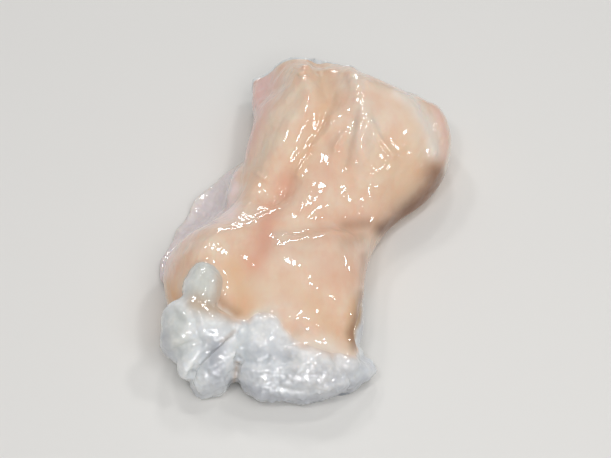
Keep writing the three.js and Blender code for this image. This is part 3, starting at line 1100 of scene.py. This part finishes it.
@dataclass(frozen=True)
class FatFinish(WetFinish):
    """Raw suet: greasy white lobules with a cool, slightly see-through matter between them."""

    name: str = "raw_suet"
    roughness: float = 0.42
    ior: float = 1.45
    radius: Point = (1.0, 0.9, 0.8)
    light_reach: float = 2.8
    film_roughness: float = 0.04
    grain_height: float = 0.15
    white: str = "#F3F4F3"
    cool: str = "#DADDDE"
    clear: str = "#C9CDD0"
    # Watery fat in the upper lobe, which lets the darker tissue behind it show.
    glassy: str = "#C9C8BA"
    # Painted shade: greyer fat low down, in the grooves and at the side, where shade falls.
    painted_shade_grey: str = "#A3A6AF"
    # Tan of tissue next to the wall and under the upper lobe, also laid on as painted shade in the
    # deep clefts, under the upper lobe and along the wall's right edge.
    tan: str = "#B7946C"
    # Where the wall fades into the fat, its last film still tints the fat.
    peach: str = "#E6C2A6"
    lobule_size: float = 2.2
    haze_size: float = 5.0
    grain_size: float = 0.9
    bead_size: float = 1.25

    def sockets(self, tree: bpy.types.NodeTree, place: Any) -> dict[str, Any]:
        """Colour, depth of light, and bumps of the tissue and of its film.

        Args:
            tree: the node tree.
            place: the socket of the place on the piece.

        Returns:
            A socket for each input of the shader that varies over the piece.
        """
        # White lobules, a couple of millimetres across, in cooler matter that light passes.
        lobules = add_node(tree, "ShaderNodeTexVoronoi", {
            "Vector": place, "Scale": per_metre(self.lobule_size), "Smoothness": 0.7},
            feature="SMOOTH_F1")
        haze = add_node(tree, "ShaderNodeTexNoise", {
            "Vector": place, "Scale": per_metre(self.haze_size), "Detail": 3.0})
        shade = add_node(tree, "ShaderNodeMath", {
            0: lobules.outputs["Distance"], 1: haze.outputs["Fac"]},
            operation="MULTIPLY", use_clamp=True)
        between = add_node(tree, "ShaderNodeMapRange", {
            "Value": shade.outputs["Value"], "From Min": 0.12, "From Max": 0.4})
        # Fat cells in grains under a millimetre, whiter in their middles.
        grains = add_node(tree, "ShaderNodeTexVoronoi", {
            "Vector": place, "Scale": per_metre(self.grain_size), "Smoothness": 0.5},
            feature="SMOOTH_F1")
        rims = add_node(tree, "ShaderNodeMapRange", {
            "Value": grains.outputs["Distance"], "From Min": 0.2, "From Max": 0.6,
            "To Max": 0.25})
        carried: dict[str, bpy.types.NodeSocket] = {}
        for name in ("glassy", "shaded", "tan", "warmth", "beaded", "fatness"):
            zone = add_node(tree, "ShaderNodeAttribute", attribute_name=name)
            carried[name] = zone.outputs["Fac"]
        tints = [(self.cool, between.outputs["Result"]), (self.clear, rims.outputs["Result"]),
                 (self.glassy, carried["glassy"]), (self.painted_shade_grey, carried["shaded"]),
                 (self.tan, carried["tan"]), (self.peach, carried["warmth"])]
        bumps = add_node(tree, "ShaderNodeBump", {
            "Height": grains.outputs["Distance"], "Strength": 0.4,
            "Distance": self.grain_height * MM}, invert=True)
        # Tiny beads of melted grease make the wet film glitter.
        beads = add_node(tree, "ShaderNodeTexNoise", {
            "Vector": place, "Scale": per_metre(self.bead_size), "Detail": 1.0})
        lively = add_node(tree, "ShaderNodeMapRange", {
            "Value": carried["beaded"], "To Min": 0.35, "To Max": 1.0})
        glitter = add_node(tree, "ShaderNodeBump", {
            "Height": beads.outputs["Fac"], "Strength": lively.outputs["Result"],
            "Distance": self.film_height * MM})
        # Light goes less deep next to the wall, which would shade what leaks in below it.
        depth = add_node(tree, "ShaderNodeMapRange", {
            "Value": carried["fatness"], "From Min": 0.5, "To Min": 0.05, "To Max": 0.7})
        return {"Base Color": self.tinted(tree, self.white, tints),
                "Subsurface Weight": depth.outputs["Result"],
                "Normal": bumps.outputs["Normal"], "Coat Normal": glitter.outputs["Normal"]}


@dataclass
class GutWall:
    """The gut wall: a closed skin that lies on the fat, with its rim dipping under the lobes."""

    # The thickness, its shares on the flap and at the rim, and how much of the room it may fill.
    thickness: float = 2.0
    flap_share: float = 0.12
    rim_share: float = 0.08
    room_share: float = 0.35
    room_rounds: int = 3
    # How fat a place may be before the wall starts to dip, to thin out, and to end.
    dip_from: float = 0.42
    thin_over: Span = (0.85, 0.3)
    cut_at: float = 0.93
    dip: float = 0.45
    hidden_kept: float = 0.6
    zones: tuple[tuple[str, tuple[Mark, ...]], ...] = (
        ("orange", (
            Mark([(2.7, 38), (5.0, 28), (3.0, 23), (0.8, 18), (-2.3, 13)], 2.2, 0.3),
            Mark([(-15.5, -9), (-13.5, -14), (-14.2, -18)], 3.4, 0.5),
            Mark([(-31.2, -12), (-30, -15)], 1.8, 0.8),
            Mark([(0.8, -16), (4.0, -20), (8.0, -23.6)], 2.6, 0.3),
            Mark([(11.0, -16), (10.0, -20), (9.4, -24)], 1.6, 0.4),
            Mark([(9.6, 20), (8.6, 15)], 1.6, 0.2),
            Mark([(19, 16), (22, 12), (21.6, 9)], 4.5, 0.45),
        )),
        ("cream", (
            Mark([(-4, 29), (-7.2, 23), (-10.7, 14.5)], 3.2, 0.4),
            Mark([(18.6, 16), (22, 9)], 4.0, 0.35),
            Mark([(-24.5, -4.5), (-19.3, -1.9)], 3.0, 0.3),
            Mark([(-11, -12), (-2, -13), (2, -8)], 4.0, 0.25),
        )),
        ("pink", (
            Mark([(-4.2, 10.6), (-5.1, 7.8)], 2.6, 0.6),
            Mark([(-7.4, 4.3), (-8.9, 0.5), (-9.5, -4.5), (-11.5, -7.6)], 2.6, 0.7),
            Mark([(7, 20), (6, 15), (1.4, 6)], 3.0, 0.2),
            Mark([(12, 2), (4, 0)], 3.6, 0.3),
            Mark([(4, -8), (12, -10)], 4.0, 0.25),
        )),
        # Upper left: partly own tone, partly a painted reflection of a neighbouring piece. Right
        # rim: its own pink.
        ("rose", (
            Mark([(-8.8, 32.5), (-11.6, 26), (-14.5, 18)], 3.2, 0.95),
            Mark([(29.0, 28), (30.8, 22), (30.4, 16)], 1.8, 0.5),
        )),
        ("lilac", (
            Mark([(-17.4, 13.5), (-17.3, 8), (-17.0, 3.9), (-20, 3.4), (-26.0, 0.6), (-30.4, -3.6),
                  (-32.8, -9)], 2.4),
            Mark([(-18.6, 4.6), (-16.6, 9)], 2.4),
        )),
        # Painted shade: darker where shade falls, on the lower right, at the neck, along the wall's
        # right edge and at the foot of the fat's upper lobe.
        ("shade", (
            Mark([(29.4, 12), (28.4, 9), (26.0, 6.0), (21.5, 2.4)], 3.0, 1.0),
            Mark([(21.5, 2.4), (17, 0)], 2.2, 1.0),
            Mark([(14, 1.2), (9, 0.8)], 1.6, 0.4),
            Mark([(9.0, -2.8), (12.4, -1.8)], 2.0, 0.2),
            Mark([(13.0, -14.5), (12.0, -18.6), (11.2, -21), (10.3, -23), (11.2, -25.6)], 1.5, 0.7),
            Mark([(13.0, -6), (12.8, -12)], 1.0, 0.3),
            Mark([(-19.6, -15.4), (-17.6, -17.4), (-15.4, -18.8)], 1.4, 0.4),
        )),
        ("veil", (
            Mark([(-6, -17.2), (-2.4, -20.0), (0.4, -23.8)], 2.4, 0.25),
            Mark([(0.4, -23.8), (6, -26.8)], 2.4, 0.4),
            Mark([(12.0, 34), (12.6, 28), (14.6, 23), (12.0, 18)], 3.6, 0.4),
            Mark([(18.6, 31), (18.4, 26)], 3.0, 0.3),
            Mark([(-4.2, -2.6), (-3.6, -6.4)], 2.0, 0.25),
            Mark([(20.5, 30), (24.2, 27.6), (26.6, 24), (28.2, 20), (28.4, 17.4)], 1.9, 0.95),
            Mark([(27, 30), (31.4, 25.6), (32.6, 20), (31.4, 13)], 0.7, 0.8),
            Mark([(-16.7, 14.5), (-21, 10.2), (-25.4, 5), (-32.4, -5.8)], 0.9, 0.6),
        )),
    )

    def build(self, form: bpy.types.Object) -> bpy.types.Object:
        """Cuts the wall out of the form and gives it its thickness.

        Args:
            form: the common form.

        Returns:
            The wall.
        """
        wall = copy_of(form, "gut_wall_skin")
        skin = Skin(wall)
        fatness = skin.read_attribute("fatness")
        dip = smooth_step(self.dip_from, self.cut_at, fatness)
        push_out(wall, -self.dip, skin.write_group("dip", dip))
        delete_where(wall, fatness > self.cut_at)
        skin = Skin(wall)
        self.paint(skin)
        thick = 1 - (1 - self.flap_share) * skin.read_attribute("flap")
        room = self.room_share * skin.room_inside() / self.thickness
        thick = np.minimum(thick, skin.blurred(np.minimum(room, 1), self.room_rounds))
        thick *= smooth_step(*self.thin_over, skin.read_attribute("fatness"))
        skin.write_group("thick", np.maximum(thick, self.rim_share))
        wall.vertex_groups.new(name="hidden")
        apply_modifier(wall, "SOLIDIFY", thickness=self.thickness * MM, offset=-1.0,
                       vertex_group="thick", use_rim=True, shell_vertex_group="hidden")
        apply_modifier(wall, "DECIMATE", ratio=self.hidden_kept, vertex_group="hidden")
        rest_on_floor(wall)
        make_active(wall)
        bpy.ops.object.shade_smooth()
        return wall

    def paint(self, skin: Skin) -> None:
        """Writes the zones of colour that the material reads; the flap is lilac all over.

        Args:
            skin: the wall's skin.
        """
        for name, marks in self.zones:
            spread = skin.near(marks)
            if name == "lilac":
                spread = np.maximum(spread, skin.read_attribute("flap"))
            skin.write_attribute(name, spread)

    def dress(self, wall: bpy.types.Object) -> None:
        """Gives the wall its material and its place in the part.

        Args:
            wall: the wall.
        """
        wall.data.materials.append(GutWallFinish().build())
        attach(wall, "root")
        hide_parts("gut_wall")


@dataclass
class Fat:
    """The fat: it runs through the wall and swells out of it in lobes at both cut ends."""

    dip: float = 0.25
    # How little fat a place has where the fat dips, where it is drawn in, and where it is hidden.
    dip_over: Span = (0.5, 0.3)
    cover_over: Span = (0.3, 0.02)
    hidden_from: float = 0.95
    hidden_kept: float = 0.8
    # Stain next to the wall.
    seam_stain: float = 0.14
    stain_over: Span = (1.0, 0.5)
    # Tan marks: painted shade in the cleft and a crevice, under the upper lobe and along the wall's
    # right edge, partly over tan tissue under the upper lobe.
    tan_and_painted_shade_marks: tuple[Mark, ...] = (
        Mark([(-15.1, -29.5), (-15.3, -31.5), (-15.8, -34)], 0.5, 0.5),
        Mark([(-24.4, -16.2), (-21.8, -17.2), (-19.0, -17.9), (-16.4, -18.8)], 2.1, 0.66),
        Mark([(-18.4, -10.8), (-18.8, -14.0), (-20.0, -16.2)], 1.9, 0.5),
        Mark([(-15.6, -22.6), (-18.5, -24.9)], 0.5, 0.3),
        Mark([(12.6, -15), (12.1, -18.4), (11.6, -20.6), (10.6, -22.4), (10.5, -24)], 0.7, 0.9),
    )
    watery: tuple[Mark, ...] = (
        Mark([(-22.4, -9), (-22.8, -14)], 4.0, 0.6),
        Mark([(-28, -20), (-28.4, -24.5)], 3.2, 0.4),
    )
    # Where the fat gets painted shade: low on the fronts, in the grooves between lobes, and in the
    # strip beside the wall.
    shaded: tuple[Mark, ...] = (
        Mark([(-16, -34), (-12, -35.8), (-5, -38.4), (5, -38), (13, -34)], 2.2, 0.75),
        Mark([(-14, -31.5), (-5, -34), (8, -33), (13, -31)], 3.0, 0.38),
        Mark([(-31.6, -24.0), (-30.6, -28.6)], 1.8, 0.6),
        Mark([(-19.6, -26), (-20.0, -30), (-19.6, -34)], 2.8, 0.62),
        Mark([(-11, -27), (-5, -28)], 2.2, 0.35),
        Mark([(-27, -34.6), (-24, -37), (-20, -36.4)], 1.6, 0.5),
        Mark([(12.9, -16), (12.7, -20), (12.6, -25)], 1.2, 0.7),
    )
    beaded: tuple[Mark, ...] = (
        Mark([(-10, -31), (-4, -32.5), (2, -33.5), (8, -32.5), (13, -30.5)], 3.2),
        Mark([(-21, -30), (-18, -32)], 2.4, 0.6),
        Mark([(-9.5, -22.5), (-8.5, -24.5)], 1.8, 0.5),
    )

    def build(self, form: bpy.types.Object) -> bpy.types.Object:
        """Shapes the fat out of the form, drawn in to the solid core where the wall covers it.

        Args:
            form: the common form.

        Returns:
            The fat.
        """
        fat = copy_of(form, "fat_lobes")
        skin = Skin(fat)
        fatness = skin.read_attribute("fatness")
        dip = smooth_step(*self.dip_over, fatness)
        push_out(fat, -self.dip, skin.write_group("dip", dip))
        covered = smooth_step(*self.cover_over, fatness)
        skin.write_group("covered", covered)
        beside_wall = self.seam_stain * smooth_step(*self.stain_over, fatness)
        skin.write_attribute("tan", np.maximum(skin.near(self.tan_and_painted_shade_marks), beside_wall))
        skin.write_attribute("glassy", skin.near(self.watery))
        skin.write_attribute("shaded", skin.near(self.shaded, anywhere=True))
        skin.write_attribute("beaded", skin.near(self.beaded))
        core = copy_of(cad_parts["fat"], "core")
        merge_doubles(core)
        apply_modifier(fat, "SHRINKWRAP", target=core, vertex_group="covered",
                       wrap_method="NEAREST_SURFACEPOINT")
        bpy.data.objects.remove(core)
        Skin(fat).write_group("hidden", covered > self.hidden_from)
        apply_modifier(fat, "DECIMATE", ratio=self.hidden_kept, vertex_group="hidden")
        rest_on_floor(fat)
        make_active(fat)
        bpy.ops.object.shade_smooth()
        return fat

    def dress(self, fat: bpy.types.Object) -> None:
        """Gives the fat its material and its place in the part.

        Args:
            fat: the fat.
        """
        fat.data.materials.append(FatFinish().build())
        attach(fat, "root")
        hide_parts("fat")


class Glow(Enum):
    """What a lamp adds: light on matt things, its mirror image on wet skin, or both."""

    LIGHT = "light"
    GLINT = "glint"
    BOTH = "both"


@dataclass(frozen=True)
class Lamp:
    """A flat lamp that faces the part, with its width, height and power in watts."""

    name: str
    at: Point
    width: float = 60.0
    height: float = 60.0
    power: float = 0.3
    glow: Glow = Glow.BOTH

    def build(self) -> None:
        """Adds the lamp."""
        deselect_all()
        bpy.ops.object.light_add(type="AREA", location=Vector(self.at) * MM)
        light = bpy.context.object
        light.name = self.name
        light.rotation_euler = (-Vector(self.at)).to_track_quat("-Z", "Y").to_euler()
        light.data.shape = "RECTANGLE"
        light.data.size = self.width * MM
        light.data.size_y = self.height * MM
        light.data.energy = self.power
        light.visible_diffuse = self.glow is not Glow.GLINT
        light.visible_glossy = self.glow is not Glow.LIGHT


@dataclass
class Studio:
    """A pale floor, soft light, and the camera at the viewpoint."""

    lens: float = 114.5
    sensor: float = 36.0
    lamps: tuple[Lamp, ...] = (
        Lamp("softbox", (120, -330, 480), 450, 450, 1.74, Glow.LIGHT),
        Lamp("rear_lamp_left", (-190, 300, 430)),
        Lamp("rear_lamp_middle", (10, 350, 430)),
        Lamp("rear_lamp_right", (223, 127, 458)),
        Lamp("front_lamp_left", (-130, -250, 480)),
        Lamp("front_lamp_right", (268, -26, 422), 32, 32, 0.1, Glow.GLINT),
        Lamp("rear_strip", (-20, 470, 75), 90, 14, 0.11, Glow.GLINT),
        Lamp("front_sheen", (0, -450, 150), 420, 100, 0.8, Glow.GLINT),
        Lamp("low_lamp_right", (90, -460, 230), 50, 50, 0.4, Glow.GLINT),
        Lamp("low_lamp_left", (-120, -450, 170), 50, 50, 0.4, Glow.GLINT),
        Lamp("low_lamp_far_right", (184, -442, 140), 50, 50, 0.4, Glow.GLINT),
        Lamp("side_lamp", (450, 0, 210), 24, 24, 0.1, Glow.GLINT),
        Lamp("side_lamp_rear", (390, 288, 116), 16, 16, 0.05, Glow.GLINT),
    )
    floor_size: float = 3000.0
    floor_colour: str = "#E4E2DE"
    sky_colour: str = "#F4F6FA"
    sky_strength: float = 0.28

    def build(self) -> None:
        """Builds the floor, the lights and the camera."""
        self.build_floor()
        for lamp in self.lamps:
            lamp.build()
        world = bpy.data.worlds.new("studio")
        world.use_nodes = True
        sky = world.node_tree.nodes["Background"].inputs
        sky["Color"].default_value = hex_colour(self.sky_colour)
        sky["Strength"].default_value = self.sky_strength
        bpy.context.scene.world = world
        self.build_camera()

    def build_floor(self) -> None:
        """A large matt floor that the part lies on."""
        deselect_all()
        bpy.ops.mesh.primitive_plane_add(size=self.floor_size * MM)
        floor = bpy.context.object
        floor.name = "studio_floor"
        material = bpy.data.materials.new("matt_paper")
        material.use_nodes = True
        shader = material.node_tree.nodes["Principled BSDF"]
        shader.inputs["Base Color"].default_value = hex_colour(self.floor_colour)
        shader.inputs["Roughness"].default_value = 0.9
        floor.data.materials.append(material)

    def build_camera(self) -> None:
        """Places the camera at the photograph's viewing angle."""
        back = Vector(VIEWPOINT.toward()) * VIEWPOINT.distance
        bpy.ops.object.camera_add(location=(Vector(VIEWPOINT.target) + back) * MM,
                                  rotation=(math.radians(90 - VIEWPOINT.elevation), 0, 0))
        camera = bpy.context.object
        camera.name = "camera"
        camera.data.lens = self.lens
        camera.data.sensor_width = self.sensor
        camera.data.clip_start = 10 * MM
        bpy.context.scene.camera = camera
        bpy.context.scene.view_settings.view_transform = "Standard"


def main() -> None:
    """Builds the part and its studio, in order."""
    logging.basicConfig(level=logging.INFO, format="%(name)s: %(message)s")
    form = Form().build()
    wall_parts = GutWall()
    wall = wall_parts.build(form)
    wall_parts.dress(wall)
    log.info("gut wall: %d faces", len(wall.data.polygons))
    fat_parts = Fat()
    fat = fat_parts.build(form)
    fat_parts.dress(fat)
    log.info("fat: %d faces", len(fat.data.polygons))
    bpy.data.objects.remove(form)
    Studio().build()


if __name__ == "__main__":
    main()
